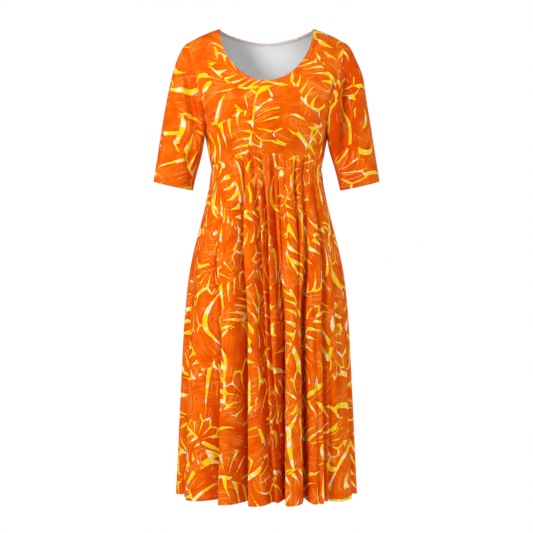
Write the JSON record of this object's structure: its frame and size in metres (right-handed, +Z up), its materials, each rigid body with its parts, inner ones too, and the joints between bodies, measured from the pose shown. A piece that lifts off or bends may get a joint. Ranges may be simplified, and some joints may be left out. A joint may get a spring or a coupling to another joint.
{
  "type": "gathered a-line midi dress with elbow sleeves, worn form",
  "caption": "Hollow a-line dress with a scoop neck, set-in elbow sleeves, a raised waist seam and a gathered skirt that falls in soft folds to mid calf.",
  "frame": {"origin": "midway between the two points where the shoulder seams meet the neckline, where the wearer's shoulders hold the dress", "axes": "+Z up along the hanging dress, -Y towards the front of the dress, +X towards the viewer's right when seen from the front"},
  "size_m": [0.554, 0.382, 1.1403],
  "materials": {
    "printed_cloth": "soft smooth viscose jersey with a painterly leaf and flower print in orange, yellow and cream",
    "cloth_reverse": "plain pale grey unprinted reverse of the cloth",
    "sewing_thread": "matt polyester sewing thread"
  },
  "bodies": {
    "root": {"bodice_front": "printed_cloth", "bodice_back": "printed_cloth", "sleeve_left": "printed_cloth", "sleeve_right": "printed_cloth", "skirt_front": "printed_cloth", "skirt_back": "printed_cloth"}
  },
  "joints": []
}
